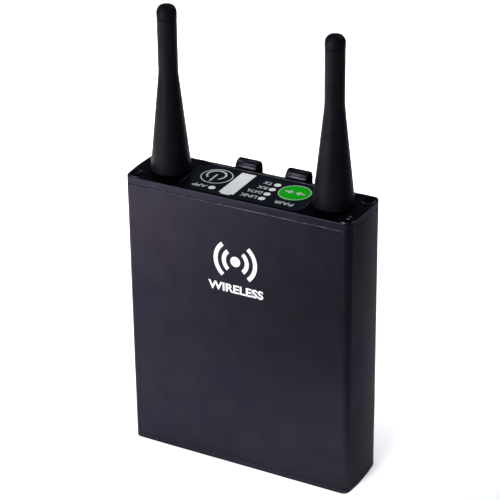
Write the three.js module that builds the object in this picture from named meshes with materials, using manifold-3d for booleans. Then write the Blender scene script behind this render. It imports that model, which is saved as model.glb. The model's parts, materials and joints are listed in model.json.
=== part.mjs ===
// A belt-worn wireless transceiver for lighting-control data. An extruded aluminium sleeve is closed by a
// screwed cap at each end. The top cap carries a control panel and two screw-on antennas, the bottom cap
// a data socket and a charging port, and the back a plate with two spring clips.
//
// Millimetres. +X is to the right seen from the front, +Y to the back and +Z up.
// The origin is the centre of the bottom face, so the case stands on Z = 0.

import * as THREE from "three";
import { mergeVertices } from "three/addons/utils/BufferGeometryUtils.js";
import Module from "manifold-3d";

const wasm = await Module();
wasm.setup();

// ---------------------------------------------------------------- driving dimensions

const GAP = 0.3; // between a piece and the hole or neighbour that it sits in
const FINE_GAP = 0.15; // round the windows in the panel
const OVERSHOOT = 1; // how far a cutting tool runs past the face that it opens

const CASE = { width: 103, depth: 28.4, height: 125.5, corner: 3.1, crown: 0.52, wall: 1.8 };
const CAP = { top: 3, bottom: 2.1, gasket: 0.3, gasketInset: 0.6 };
const CORNER = { x: 47.8, y: 10.05, bossRadius: 3.2 }; // the four screw positions
const SCREW = { head: 3, sink: 3.4, shank: 1.3, hole: 1.6, length: 9, socket: 1.15, socketDepth: 1.2 };
const CLIP_SCREW = {
  head: 2,
  sink: 2.3,
  shank: 0.95,
  hole: 1.25,
  length: 2.8,
  socket: 0.75,
  socketDepth: 0.7,
};
const SCREW_BELOW = 0.15; // how far a screw's head sits below the face round it
const RIB = { reach: 3.6, thick: 1, slack: 0.2 }; // the sleeve's guides for the main board

const PANEL = { halfWidth: 28, halfDepth: 12.4, corner: 4, pocket: 0.6, film: 0.4 };
const POWER = { x: -17.2, y: 2.6 };
const PAIR = { x: 18.45, y: 3 };
const BUTTON = { radius: 6.95, thick: 1, proud: 0.05, stem: 2, stemEnd: 4.8, well: 2 };
const SWITCH = { side: 6.2, height: 3.4, plunger: 1.6, hole: 1.9, holeDepth: 1, play: 0.1 };
const LIGHT = { radius: 1.5, length: 8.1 };
const LIGHT_COLUMN = { x: 8.9, yFirst: 6.36, pitch: 4.67, names: ["tx", "rx", "data", "link"] };
const APP_LIGHT = { x: -13.95, y: -7.57 };
const GAUGE = { left: -9.65, right: -3, front: -9.8, back: 10.6, deep: 3.4 };
const NUB = { left: -8.4, right: -4.4, long: 1 }; // the battery sign's terminal, on the gauge's front end

const ANTENNA = { x: 37.3, y: 0, base: 8.45, rim: 1.9, rod: 4.1, coneTop: 43.1, top: 72, tip: 4.18 };
const TIP_SEAM = 66.3; // height of the seam between rod and tip above the cap
const JACK = { barrel: 3.1, hexAcrossCorners: 9.2, top: 8.5, tail: 9, flange: 2.2, nut: 2.2 };

const BOARD = { thick: 1.6, halfWidth: 48.8, y: -6, bottom: 22, top: 102 };
const CONTROL_BOARD = { halfWidth: 29, halfDepth: 10.2, top: 115.8 };
const BOARD_TAB = { left: -38, right: -12, bottom: 4 }; // reaches down to the charging port
const MODULE = { top: 94, thick: 3.2, stub: 1.2, stubRadius: 1.2 }; // the two shielded radio modules
const DATA_RADIO = { left: 8, right: 38, bottom: 66, stubX: 30 };
const APP_RADIO = { left: -34, right: -12, bottom: 74, stubX: -30 };
const CHIP_SUNK = 0.2; // each chip starts inside its board, so that the two are one solid
const DIODE = { height: 0.7, length: 2, width: 1.2 };
const GAUGE_DIODES = [-8, -4, 0, 4, 8]; // their places along the gauge
const CHIPS = [
  { left: -8, right: 6, bottom: 40, top: 54, height: 1.4 },
  { left: -30, right: -20, bottom: 30, top: 36, height: 1.2 },
  { left: 20, right: 34, bottom: 34, top: 44, height: 4 },
  { left: -36, right: -30, bottom: 48, top: 60, height: 4.8 },
];
const PROCESSOR = { side: 7, height: 1, y: -1 };
const BATTERY = { halfWidth: 39, front: -2.6, back: 9, bottom: 24, top: 98, corner: 3 };

const DATA_SOCKET = { x: 24, outer: 11.2, inner: 9.7, insert: 7.8, below: 0.2, floor: 14, top: 16 };
const CONTACT = { count: 5, ring: 4.6, hole: 0.9, face: 1, depth: 8 }; // the contact holes in its insert
const CHARGE_PORT = { x: -24, halfWidth: 4.7, height: 3.6, depth: 7.4, wall: 0.5, floor: 2 };
const PORT_TONGUE = { halfWidth: 3.2, halfThick: 0.35, below: 0.8 };

const CLIP = { x: 11.6, middle: 0.5, width: 9.5, thick: 0.8, bend: 3.2, bendY: 19, bendZ: 124, leafEnd: 74 };
const TONGUE = { hangEnd: 96, nipY: 17, nipZ: 71, tipY: 20.4, tipZ: 63.2 }; // where each tongue bends
const CLIP_SPLIT = { leaf: 165, tongue: 150 }; // degrees round the bend, from the back over the top
const CLIP_PLATE = { halfWidth: 19.5, bottom: 68, top: 120, thick: 1.2, corner: 3 };
const RIVET = { radius: 1.4, head: 2.3, proud: 0.4, heights: [112, 84] };
const CLIP_SCREW_HEIGHTS = [CLIP_PLATE.top - 8, CLIP_PLATE.bottom + 8];

const TOP = CASE.height;
const BACK = CASE.depth / 2;
const PANEL_TOP = TOP - PANEL.pocket + PANEL.film;

// ---------------------------------------------------------------- finishes

const FINISH = {
  anodised: { color: 0x232229, roughness: 0.45, metalness: 0.6 },
  blackSteel: { color: 0x141416, roughness: 0.4, metalness: 0.5 },
  blackRubber: { color: 0x0c0b0f, roughness: 0.55, metalness: 0 },
  blackPlastic: { color: 0x101013, roughness: 0.5, metalness: 0 },
  overlay: { color: 0x10131f, roughness: 0.25, metalness: 0 },
  green: { color: 0x149408, roughness: 0.25, metalness: 0 },
  white: { color: 0xdcdcdc, roughness: 0.4, metalness: 0 },
  steel: { color: 0x8d8d90, roughness: 0.35, metalness: 1 },
  brass: { color: 0xb99a4a, roughness: 0.35, metalness: 1 },
  board: { color: 0x12502a, roughness: 0.5, metalness: 0 },
  battery: { color: 0x3d5f8f, roughness: 0.4, metalness: 0 },
  gasket: { color: 0x060607, roughness: 0.8, metalness: 0 },
};

// ---------------------------------------------------------------- solids

function solidOf(geometry) {
  const bare = geometry.clone();
  bare.deleteAttribute("normal");
  bare.deleteAttribute("uv");
  const merged = mergeVertices(bare, 1e-4);
  return new wasm.Manifold(
    new wasm.Mesh({
      numProp: 3,
      vertProperties: merged.getAttribute("position").array,
      triVerts: new Uint32Array(merged.index.array),
    }),
  );
}

function geometryOf(solid) {
  const mesh = solid.getMesh();
  const geometry = new THREE.BufferGeometry();
  geometry.setAttribute("position", new THREE.BufferAttribute(mesh.vertProperties, 3));
  geometry.setIndex(new THREE.BufferAttribute(mesh.triVerts, 1));
  geometry.computeVertexNormals();
  return geometry;
}

function cut(geometry, ...tools) {
  const solid = tools.reduce((rest, tool) => rest.subtract(solidOf(tool)), solidOf(geometry));
  return geometryOf(solid);
}

function join(geometry, ...others) {
  const solid = others.reduce((whole, other) => whole.add(solidOf(other)), solidOf(geometry));
  return geometryOf(solid);
}

function cylinder(radius, z0, z1, segments = 24, x = 0, y = 0) {
  const geometry = new THREE.CylinderGeometry(radius, radius, z1 - z0, segments);
  return geometry.rotateX(Math.PI / 2).translate(x, y, (z0 + z1) / 2);
}

function cone(radiusBelow, radiusAbove, z0, z1, segments, x, y) {
  const geometry = new THREE.CylinderGeometry(radiusAbove, radiusBelow, z1 - z0, segments);
  return geometry.rotateX(Math.PI / 2).translate(x, y, (z0 + z1) / 2);
}

function block(x0, x1, y0, y1, z0, z1) {
  const geometry = new THREE.BoxGeometry(x1 - x0, y1 - y0, z1 - z0);
  return geometry.translate((x0 + x1) / 2, (y0 + y1) / 2, (z0 + z1) / 2);
}

function slab(shape, z0, z1, curveSegments = 2) {
  const options = { depth: z1 - z0, bevelEnabled: false, curveSegments };
  return new THREE.ExtrudeGeometry(shape, options).translate(0, 0, z0);
}

// Turned about the Z axis from [radius, height] points that go round the solid with the axis on their left.
function turned(points, segments = 20) {
  const profile = points.map(([radius, height]) => new THREE.Vector2(radius, height));
  return new THREE.LatheGeometry(profile, segments).rotateX(Math.PI / 2);
}

function roundedRectangle(x0, x1, y0, y1, radius) {
  const shape = new THREE.Shape();
  shape.moveTo(x0 + radius, y0);
  shape.lineTo(x1 - radius, y0);
  shape.absarc(x1 - radius, y0 + radius, radius, -Math.PI / 2, 0);
  shape.lineTo(x1, y1 - radius);
  shape.absarc(x1 - radius, y1 - radius, radius, 0, Math.PI / 2);
  shape.lineTo(x0 + radius, y1);
  shape.absarc(x0 + radius, y1 - radius, radius, Math.PI / 2, Math.PI);
  shape.lineTo(x0, y0 + radius);
  shape.absarc(x0 + radius, y0 + radius, radius, Math.PI, 1.5 * Math.PI);
  return shape;
}

// A cutting tool along +Y, from inside the case out through its back.
function holeInBack(radius, z, x = 0) {
  return cylinder(radius, BACK - 5, BACK + 10, 12).rotateX(-Math.PI / 2).translate(x, 0, z);
}

// The outline of sleeve and caps: flat front and back, rounded corners and crowned narrow sides.
function caseOutline(inset) {
  const halfWidth = CASE.width / 2 - inset;
  const halfDepth = CASE.depth / 2 - inset;
  const radius = CASE.corner - inset;
  const shape = new THREE.Shape();
  shape.moveTo(radius - halfWidth, -halfDepth);
  shape.lineTo(halfWidth - radius, -halfDepth);
  shape.absarc(halfWidth - radius, radius - halfDepth, radius, -Math.PI / 2, 0);
  shape.quadraticCurveTo(halfWidth + 2 * CASE.crown, 0, halfWidth, halfDepth - radius);
  shape.absarc(halfWidth - radius, halfDepth - radius, radius, 0, Math.PI / 2);
  shape.lineTo(radius - halfWidth, halfDepth);
  shape.absarc(radius - halfWidth, halfDepth - radius, radius, Math.PI / 2, Math.PI);
  shape.quadraticCurveTo(-halfWidth - 2 * CASE.crown, 0, -halfWidth, radius - halfDepth);
  shape.absarc(radius - halfWidth, radius - halfDepth, radius, Math.PI, 1.5 * Math.PI);
  return shape;
}

// ---------------------------------------------------------------- the assembly

const unit = new THREE.Group();

function add(parent, name, geometry, finish) {
  const mesh = new THREE.Mesh(geometry, new THREE.MeshStandardMaterial(finish));
  mesh.name = name;
  parent.add(mesh);
  return mesh;
}

const corners = [
  { name: "front_left", x: -CORNER.x, y: -CORNER.y },
  { name: "front_right", x: CORNER.x, y: -CORNER.y },
  { name: "rear_right", x: CORNER.x, y: CORNER.y },
  { name: "rear_left", x: -CORNER.x, y: CORNER.y },
];

function screwHoles(faceZ, outward) {
  return corners.flatMap(({ x, y }) => {
    const through = cylinder(SCREW.hole, faceZ - 5, faceZ + 5, 12, x, y);
    const depth = SCREW.sink - SCREW.hole;
    const inner = faceZ - outward * depth;
    const sink =
      outward > 0
        ? cone(SCREW.hole, SCREW.sink + OVERSHOOT, inner, faceZ + OVERSHOOT, 12, x, y)
        : cone(SCREW.sink + OVERSHOOT, SCREW.hole, faceZ - OVERSHOOT, inner, 12, x, y);
    return [through, sink];
  });
}

// A countersunk screw with a hexagon socket, its head at Z = 0 and its shank pointing down.
function countersunkScrew({ head, shank, length, socket, socketDepth }) {
  const neck = head - shank;
  const blank = turned([[0, -length], [shank, -length], [shank, -neck], [head, 0], [0, 0]], 12);
  return cut(blank, cylinder(socket, -socketDepth, OVERSHOOT, 6));
}

// ---------------------------------------------------------------- housing

const sleeveBottom = CAP.bottom + CAP.gasket;
const sleeveTop = TOP - CAP.top - CAP.gasket;

// The hollow keeps the corner bosses, which hold the screws, and the ribs that guide the main board's edges.
function housingSleeve() {
  const z0 = sleeveBottom - OVERSHOOT;
  const z1 = sleeveTop + OVERSHOOT;
  const innerWall = CASE.width / 2 - CASE.wall;
  const bosses = corners.map(({ x, y }) => cylinder(CORNER.bossRadius, z0 - 1, z1 + 1, 16, x, y));
  const ribStarts = [BOARD.y - RIB.slack - RIB.thick, BOARD.y + BOARD.thick + RIB.slack];
  const ribs = [-1, 1].flatMap((side) => {
    const ends = [side * (innerWall - RIB.reach), side * (innerWall + CASE.wall)].sort((a, b) => a - b);
    return ribStarts.map((y) => block(...ends, y, y + RIB.thick, z0 - 1, z1 + 1));
  });
  const hollow = cut(slab(caseOutline(CASE.wall), z0, z1), ...bosses, ...ribs);
  const channels = corners.map(({ x, y }) => cylinder(SCREW.hole, z0, z1, 12, x, y));
  const backHoles = CLIP_SCREW_HEIGHTS.map((z) => holeInBack(CLIP_SCREW.hole, z));
  return cut(slab(caseOutline(0), sleeveBottom, sleeveTop), hollow, ...channels, ...backHoles);
}

function gasket(z0) {
  return cut(
    slab(caseOutline(CAP.gasketInset), z0, z0 + CAP.gasket),
    slab(caseOutline(CASE.wall), z0 - OVERSHOOT, z0 + CAP.gasket + OVERSHOOT),
  );
}

function gaugeOutline(grow) {
  const shape = new THREE.Shape();
  shape.moveTo(GAUGE.left - grow, GAUGE.back + grow);
  shape.lineTo(GAUGE.left - grow, GAUGE.front - grow);
  shape.lineTo(NUB.left - grow, GAUGE.front - grow);
  shape.lineTo(NUB.left - grow, GAUGE.front - NUB.long - grow);
  shape.lineTo(NUB.right + grow, GAUGE.front - NUB.long - grow);
  shape.lineTo(NUB.right + grow, GAUGE.front - grow);
  shape.lineTo(GAUGE.right + grow, GAUGE.front - grow);
  shape.lineTo(GAUGE.right + grow, GAUGE.back + grow);
  return shape;
}

const lights = LIGHT_COLUMN.names.map((name, row) => ({
  name,
  x: LIGHT_COLUMN.x,
  y: LIGHT_COLUMN.yFirst - row * LIGHT_COLUMN.pitch,
}));
lights.push({ name: "app", ...APP_LIGHT });

function windowTools(z0) {
  const z1 = TOP + OVERSHOOT;
  const round = lights.map(({ x, y }) => cylinder(LIGHT.radius + FINE_GAP, z0, z1, 12, x, y));
  return [...round, slab(gaugeOutline(FINE_GAP), z0, z1)];
}

function panelOutline(inset) {
  const halfWidth = PANEL.halfWidth - inset;
  const halfDepth = PANEL.halfDepth - inset;
  return roundedRectangle(-halfWidth, halfWidth, -halfDepth, halfDepth, PANEL.corner - inset);
}

function topEndCap() {
  const bottom = TOP - CAP.top;
  const below = bottom - OVERSHOOT;
  const above = TOP + OVERSHOOT;
  const wells = [POWER, PAIR].flatMap(({ x, y }) => [
    cylinder(BUTTON.radius + GAP, TOP - BUTTON.well, above, 24, x, y),
    cylinder(BUTTON.stem + GAP, below, above, 12, x, y),
  ]);
  const jackHoles = [-1, 1].map((side) =>
    cylinder(JACK.barrel + GAP, below, above, 16, side * ANTENNA.x, ANTENNA.y),
  );
  return cut(
    slab(caseOutline(0), bottom, TOP),
    slab(panelOutline(0), TOP - PANEL.pocket, above),
    ...wells,
    ...windowTools(below),
    ...jackHoles,
    ...screwHoles(TOP, 1),
  );
}

function bottomEndCap() {
  const port = CHARGE_PORT;
  const boardBack = BOARD.y + BOARD.thick;
  return cut(
    slab(caseOutline(0), 0, CAP.bottom),
    cylinder(DATA_SOCKET.outer + GAP, -OVERSHOOT, CAP.bottom + OVERSHOOT, 32, DATA_SOCKET.x, 0),
    block(
      port.x - port.halfWidth - GAP,
      port.x + port.halfWidth + GAP,
      boardBack - GAP,
      boardBack + port.height + GAP,
      -OVERSHOOT,
      CAP.bottom + OVERSHOOT,
    ),
    ...screwHoles(0, -1),
  );
}

const housing = new THREE.Group();
unit.add(housing);
add(housing, "housing_sleeve", housingSleeve(), FINISH.anodised);
add(housing, "top_end_cap", topEndCap(), FINISH.anodised);
add(housing, "bottom_end_cap", bottomEndCap(), FINISH.anodised);
add(housing, "top_gasket", gasket(sleeveTop), FINISH.gasket);
add(housing, "bottom_gasket", gasket(CAP.bottom), FINISH.gasket);

for (const { name, x, y } of corners) {
  const top = add(housing, `top_screw_${name}`, countersunkScrew(SCREW), FINISH.blackSteel);
  top.position.set(x, y, TOP - SCREW_BELOW);
  const bottom = add(housing, `bottom_screw_${name}`, countersunkScrew(SCREW), FINISH.blackSteel);
  bottom.position.set(x, y, SCREW_BELOW);
  bottom.rotation.x = Math.PI;
}

// ---------------------------------------------------------------- control panel

function controlOverlay() {
  const floor = TOP - PANEL.pocket;
  const buttonHoles = [POWER, PAIR].map(({ x, y }) =>
    cylinder(BUTTON.radius + GAP, floor - OVERSHOOT, TOP + OVERSHOOT, 24, x, y),
  );
  return cut(slab(panelOutline(GAP), floor, PANEL_TOP), ...buttonHoles, ...windowTools(floor - OVERSHOOT));
}

// A flat round key with a stem below it, its top at Z = 0.
function buttonCap() {
  const { radius, thick, stem, stemEnd } = BUTTON;
  return turned([[0, -stemEnd], [stem, -stemEnd], [stem, -thick], [radius, -thick], [radius, 0], [0, 0]], 24);
}

const controls = new THREE.Group();
unit.add(controls);
add(controls, "control_overlay", controlOverlay(), FINISH.overlay);

const buttons = [
  { name: "power", at: POWER, finish: FINISH.overlay },
  { name: "pair", at: PAIR, finish: FINISH.green },
];
const switchTop = CONTROL_BOARD.top + SWITCH.height;
const buttonTop = PANEL_TOP + BUTTON.proud;

for (const { name, at, finish } of buttons) {
  add(controls, `${name}_button`, buttonCap(), finish).position.set(at.x, at.y, buttonTop);
  const half = SWITCH.side / 2;
  const body = cut(
    block(-half, half, -half, half, CONTROL_BOARD.top, switchTop),
    cylinder(SWITCH.hole, switchTop - SWITCH.holeDepth, switchTop + OVERSHOOT, 16),
  );
  add(controls, `${name}_switch`, body, FINISH.blackPlastic).position.set(at.x, at.y, 0);
  const plungerTop = buttonTop - BUTTON.stemEnd - SWITCH.play;
  const plunger = cylinder(SWITCH.plunger, switchTop - GAP, plungerTop, 16);
  add(controls, `${name}_switch_plunger`, plunger, FINISH.blackPlastic).position.set(at.x, at.y, 0);
}

add(controls, "battery_window", slab(gaugeOutline(0), PANEL_TOP - GAUGE.deep, PANEL_TOP), FINISH.white);
for (const { name, x, y } of lights) {
  const pipe = cylinder(LIGHT.radius, PANEL_TOP - LIGHT.length, PANEL_TOP, 12, x, y);
  add(controls, `${name}_light_window`, pipe, FINISH.white);
}

// ---------------------------------------------------------------- electronics

// The light-emitting diodes sit under the windows, the processor on the board's lower face.
function controlBoard() {
  const { halfWidth, halfDepth, top } = CONTROL_BOARD;
  const bottom = top - BOARD.thick;
  const plate = block(-halfWidth, halfWidth, -halfDepth, halfDepth, bottom, top);
  const gaugeX = (GAUGE.left + GAUGE.right) / 2;
  const places = [...lights, ...GAUGE_DIODES.map((y) => ({ x: gaugeX, y }))];
  const [long, wide] = [DIODE.length / 2, DIODE.width / 2];
  const diodes = places.map(({ x, y }) =>
    block(x - long, x + long, y - wide, y + wide, top - CHIP_SUNK, top + DIODE.height),
  );
  const { side, height, y } = PROCESSOR;
  const underside = bottom + CHIP_SUNK;
  const processor = block(-side / 2, side / 2, y - side / 2, y + side / 2, bottom - height, underside);
  return join(plate, ...diodes, processor);
}

// A full-width board with a tab at its lower edge, drawn in X and Z and stood upright.
function mainBoard() {
  const shape = new THREE.Shape();
  shape.moveTo(-BOARD.halfWidth, BOARD.top);
  shape.lineTo(-BOARD.halfWidth, BOARD.bottom);
  shape.lineTo(BOARD_TAB.left, BOARD.bottom);
  shape.lineTo(BOARD_TAB.left, BOARD_TAB.bottom);
  shape.lineTo(BOARD_TAB.right, BOARD_TAB.bottom);
  shape.lineTo(BOARD_TAB.right, BOARD.bottom);
  shape.lineTo(BOARD.halfWidth, BOARD.bottom);
  shape.lineTo(BOARD.halfWidth, BOARD.top);
  const plate = slab(shape, 0, BOARD.thick).rotateX(Math.PI / 2).translate(0, BOARD.y + BOARD.thick, 0);
  const chips = CHIPS.map(({ left, right, bottom, top, height }) =>
    block(left, right, BOARD.y - height, BOARD.y + CHIP_SUNK, bottom, top),
  );
  return join(plate, ...chips);
}

// A shielded radio module flat on the front of the main board, with a coaxial stub on its upper edge.
function radioModule({ left, right, bottom, stubX }) {
  const { top, thick, stub, stubRadius } = MODULE;
  const can = block(left, right, BOARD.y - thick, BOARD.y, bottom, top);
  return join(can, cylinder(stubRadius, top - 0.5, top + stub, 12, stubX, BOARD.y - thick / 2));
}

function batteryPack() {
  const { halfWidth, front, back, bottom, top, corner } = BATTERY;
  return slab(roundedRectangle(-halfWidth, halfWidth, front, back, corner), bottom, top, 3);
}

const electronics = new THREE.Group();
unit.add(electronics);
add(electronics, "control_board", controlBoard(), FINISH.board);
add(electronics, "main_board", mainBoard(), FINISH.board);
add(electronics, "data_radio_module", radioModule(DATA_RADIO), FINISH.steel);
add(electronics, "app_radio_module", radioModule(APP_RADIO), FINISH.steel);
add(electronics, "battery_pack", batteryPack(), FINISH.battery);

// ---------------------------------------------------------------- antennas

// Each antenna is built about its own axis with the top face of the cap at height 0.

function antennaSleeve() {
  const bore = { nut: 5.6, nutTop: 3.5, insert: 4.9, insertTop: 10, core: 0.9, coreTop: 62.8 };
  const spigot = { radius: 3, top: 69.3 };
  return turned([
    [0, bore.coreTop],
    [bore.core, bore.coreTop],
    [bore.core, bore.insertTop],
    [bore.insert, bore.insertTop],
    [bore.insert, bore.nutTop],
    [bore.nut, bore.nutTop],
    [bore.nut, GAP],
    [ANTENNA.base, GAP],
    [ANTENNA.base, ANTENNA.rim],
    [ANTENNA.rod, ANTENNA.coneTop],
    [ANTENNA.rod, TIP_SEAM],
    [spigot.radius, TIP_SEAM],
    [spigot.radius, spigot.top],
    [0, spigot.top],
  ]);
}

function antennaTip() {
  const domeStart = ANTENNA.top - 3.2;
  const hollow = { radius: 3.3, top: 69.7 };
  const profile = [
    [0, hollow.top],
    [hollow.radius, hollow.top],
    [hollow.radius, TIP_SEAM + 0.2],
    [ANTENNA.tip, TIP_SEAM + 0.2],
  ];
  const steps = 5;
  for (let step = 0; step <= steps; step++) {
    const angle = (step / steps) * (Math.PI / 2);
    const height = domeStart + (ANTENNA.top - domeStart) * Math.sin(angle);
    profile.push([step === steps ? 0 : ANTENNA.tip * Math.cos(angle), height]);
  }
  return turned(profile);
}

// A rod with a ferrule that takes the jack's pin.
function antennaRadiator() {
  const ferrule = { bore: 0.8, boreTop: 8.2, outer: 1.8, bottom: 5.2, top: 9.2 };
  const rod = { radius: 0.6, top: 62 };
  return turned(
    [
      [0, ferrule.boreTop],
      [ferrule.bore, ferrule.boreTop],
      [ferrule.bore, ferrule.bottom],
      [ferrule.outer, ferrule.bottom],
      [ferrule.outer, ferrule.top],
      [rod.radius, ferrule.top],
      [rod.radius, rod.top],
      [0, rod.top],
    ],
    12,
  );
}

// The bush that screws onto the jack, moulded into the sleeve.
function antennaInsert() {
  const { inner, outer, bottom, top } = { inner: 3.4, outer: 4.6, bottom: 3.8, top: 9.5 };
  return turned([[inner, bottom], [outer, bottom], [outer, top], [inner, top], [inner, bottom]]);
}

function antennaJack() {
  const tail = { radius: 2.4, top: -6 };
  const cup = { radius: 2.3, floor: 4.5, pin: 0.5, pinTop: 7.5 };
  const barrel = turned([
    [0, -JACK.tail],
    [tail.radius, -JACK.tail],
    [tail.radius, tail.top],
    [JACK.barrel, tail.top],
    [JACK.barrel, JACK.top],
    [cup.radius, JACK.top],
    [cup.radius, cup.floor],
    [cup.pin, cup.floor],
    [cup.pin, cup.pinTop],
    [0, cup.pinTop],
  ]);
  return join(barrel, cylinder(JACK.hexAcrossCorners / 2, -CAP.top - JACK.flange, -CAP.top, 6));
}

function antennaJackNut() {
  const hex = cylinder(JACK.hexAcrossCorners / 2, 0, JACK.nut, 6);
  return cut(hex, cylinder(JACK.barrel + GAP, -OVERSHOOT, JACK.nut + OVERSHOOT, 20));
}

// A coaxial lead from the tail of the jack, over the main board's upper edge, to the radio module's stub.
function antennaPigtail(side) {
  const radioY = BOARD.y - MODULE.thick / 2;
  const radioTop = MODULE.top + MODULE.stub + GAP;
  const jackEnd = TOP - JACK.tail - GAP;
  const route = new THREE.CatmullRomCurve3([
    new THREE.Vector3(side * ANTENNA.x, ANTENNA.y, jackEnd),
    new THREE.Vector3(side * ANTENNA.x, ANTENNA.y, jackEnd - 4),
    new THREE.Vector3(side * 36.6, -1.5, 107.5),
    new THREE.Vector3(side * 34, -5.5, 104.3),
    new THREE.Vector3(side * 31, radioY, 100.5),
    new THREE.Vector3(side * DATA_RADIO.stubX, radioY, radioTop),
  ]);
  const section = new THREE.Shape();
  section.absarc(0, 0, 0.9, 0, 2 * Math.PI);
  const options = { extrudePath: route, steps: 18, curveSegments: 3, bevelEnabled: false };
  return new THREE.ExtrudeGeometry(section, options);
}

for (const [side, name] of [[-1, "left"], [1, "right"]]) {
  const antenna = new THREE.Group();
  antenna.position.set(side * ANTENNA.x, ANTENNA.y, TOP);
  unit.add(antenna);
  add(antenna, `antenna_sleeve_${name}`, antennaSleeve(), FINISH.blackRubber);
  add(antenna, `antenna_tip_${name}`, antennaTip(), FINISH.blackRubber);
  add(antenna, `antenna_radiator_${name}`, antennaRadiator(), FINISH.brass);
  add(antenna, `antenna_insert_${name}`, antennaInsert(), FINISH.brass);
  add(antenna, `antenna_jack_${name}`, antennaJack(), FINISH.brass);
  add(antenna, `antenna_jack_nut_${name}`, antennaJackNut(), FINISH.brass);
  add(electronics, `antenna_pigtail_${name}`, antennaPigtail(side), FINISH.blackPlastic);
}

// ---------------------------------------------------------------- bottom connectors

function dataSocketShell() {
  const { outer, inner, below, floor, top } = DATA_SOCKET;
  return turned([[0, floor], [inner, floor], [inner, below], [outer, below], [outer, top], [0, top]], 24);
}

function dataSocketInsert() {
  const { count, ring, hole, face, depth } = CONTACT;
  const holes = [];
  for (let contact = 0; contact < count; contact++) {
    const angle = ((contact + 0.5) * 2 * Math.PI) / (count + 1) - Math.PI / 2;
    const [x, y] = [ring * Math.cos(angle), ring * Math.sin(angle)];
    holes.push(cylinder(hole, face - OVERSHOOT, face + depth, 8, x, y));
  }
  return cut(cylinder(DATA_SOCKET.insert, face, DATA_SOCKET.floor - GAP, 24), ...holes);
}

function chargePort() {
  const { halfWidth, height, depth, wall, floor } = CHARGE_PORT;
  const z0 = DATA_SOCKET.below;
  const z1 = z0 + depth;
  const inside = halfWidth - wall;
  const shell = block(-halfWidth, halfWidth, 0, height, z0, z1);
  const mouth = block(-inside, inside, wall, height - wall, z0 - OVERSHOOT, z1 - floor);
  const { halfWidth: half, halfThick, below } = PORT_TONGUE;
  const middle = height / 2;
  const tongue = block(-half, half, middle - halfThick, middle + halfThick, z0 + below, z1 - floor / 2);
  return join(cut(shell, mouth), tongue);
}

const connectors = new THREE.Group();
unit.add(connectors);
add(connectors, "data_connector_shell", dataSocketShell(), FINISH.blackSteel).position.x = DATA_SOCKET.x;
add(connectors, "data_connector_insert", dataSocketInsert(), FINISH.blackPlastic).position.x = DATA_SOCKET.x;
const port = add(connectors, "charge_port", chargePort(), FINISH.steel);
port.position.set(CHARGE_PORT.x, BOARD.y + BOARD.thick, 0);

// ---------------------------------------------------------------- spring clips

// A strip of even thickness along a centre line of [y, z] points, as wide as the clip, centred on X = 0.
function strip(centre) {
  const half = CLIP.thick / 2;
  const points = centre.map(([y, z]) => new THREE.Vector2(y, z));
  const side = (sign) =>
    points.map((point, i) => {
      const before = points[Math.max(i - 1, 0)];
      const after = points[Math.min(i + 1, points.length - 1)];
      const along = after.clone().sub(before).normalize();
      return new THREE.Vector2(point.x - sign * half * along.y, point.y + sign * half * along.x);
    });
  const shape = new THREE.Shape([...side(1), ...side(-1).reverse()]);
  const geometry = new THREE.ExtrudeGeometry(shape, { depth: CLIP.width, bevelEnabled: false });
  geometry.translate(0, 0, -CLIP.width / 2);
  const toYZ = new THREE.Matrix4().makeBasis(
    new THREE.Vector3(0, 1, 0),
    new THREE.Vector3(0, 0, 1),
    new THREE.Vector3(1, 0, 0),
  );
  return geometry.applyMatrix4(toYZ);
}

function bendPoint(degrees) {
  const angle = THREE.MathUtils.degToRad(degrees);
  return [CLIP.bendY + CLIP.bend * Math.cos(angle), CLIP.bendZ + CLIP.bend * Math.sin(angle)];
}

// The leaf lies on the clip plate and turns over into the start of the bend.
function clipLeaf() {
  const leafY = CLIP.bendY - CLIP.bend;
  const centre = [[leafY, CLIP.leafEnd], [leafY, CLIP.bendZ - 1]];
  for (const degrees of [180, 172.5, CLIP_SPLIT.leaf]) centre.push(bendPoint(degrees));
  return cut(strip(centre), ...RIVET.heights.map((z) => holeInBack(RIVET.radius + GAP, z)));
}

// The tongue comes over the bend, hangs down, closes in on the leaf and flares out at its tip.
function clipTongue() {
  const centre = [];
  for (let degrees = CLIP_SPLIT.tongue; degrees >= 0; degrees -= 18.75) centre.push(bendPoint(degrees));
  const hangY = CLIP.bendY + CLIP.bend;
  const { hangEnd, nipY, nipZ, tipY, tipZ } = TONGUE;
  const inward = new THREE.CubicBezierCurve(
    new THREE.Vector2(hangY, hangEnd),
    new THREE.Vector2(hangY, hangEnd - 11),
    new THREE.Vector2(nipY, nipZ + 10),
    new THREE.Vector2(nipY, nipZ),
  );
  const outward = new THREE.QuadraticBezierCurve(
    new THREE.Vector2(nipY, nipZ),
    new THREE.Vector2(nipY, nipZ - 4.5),
    new THREE.Vector2(tipY, tipZ),
  );
  for (const point of inward.getPoints(6)) centre.push([point.x, point.y]);
  for (const point of outward.getPoints(4).slice(1)) centre.push([point.x, point.y]);
  return strip(centre);
}

function clipPlate() {
  const { halfWidth, bottom, top, thick, corner } = CLIP_PLATE;
  const shape = roundedRectangle(-halfWidth, halfWidth, bottom, top, corner);
  const plate = slab(shape, 0, thick, 3).rotateX(Math.PI / 2).translate(0, BACK + thick, 0);
  const rivetHoles = [-CLIP.x, CLIP.x].flatMap((x) =>
    RIVET.heights.map((z) => holeInBack(RIVET.radius + GAP, z, CLIP.middle + x)),
  );
  const face = BACK + thick;
  const { hole, sink } = CLIP_SCREW;
  const screwTools = CLIP_SCREW_HEIGHTS.flatMap((z) => [
    holeInBack(hole, z),
    cone(hole, sink + OVERSHOOT, face - (sink - hole), face + OVERSHOOT, 16, 0, 0)
      .rotateX(-Math.PI / 2)
      .translate(0, 0, z),
  ]);
  return cut(plate, ...rivetHoles, ...screwTools);
}

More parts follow.
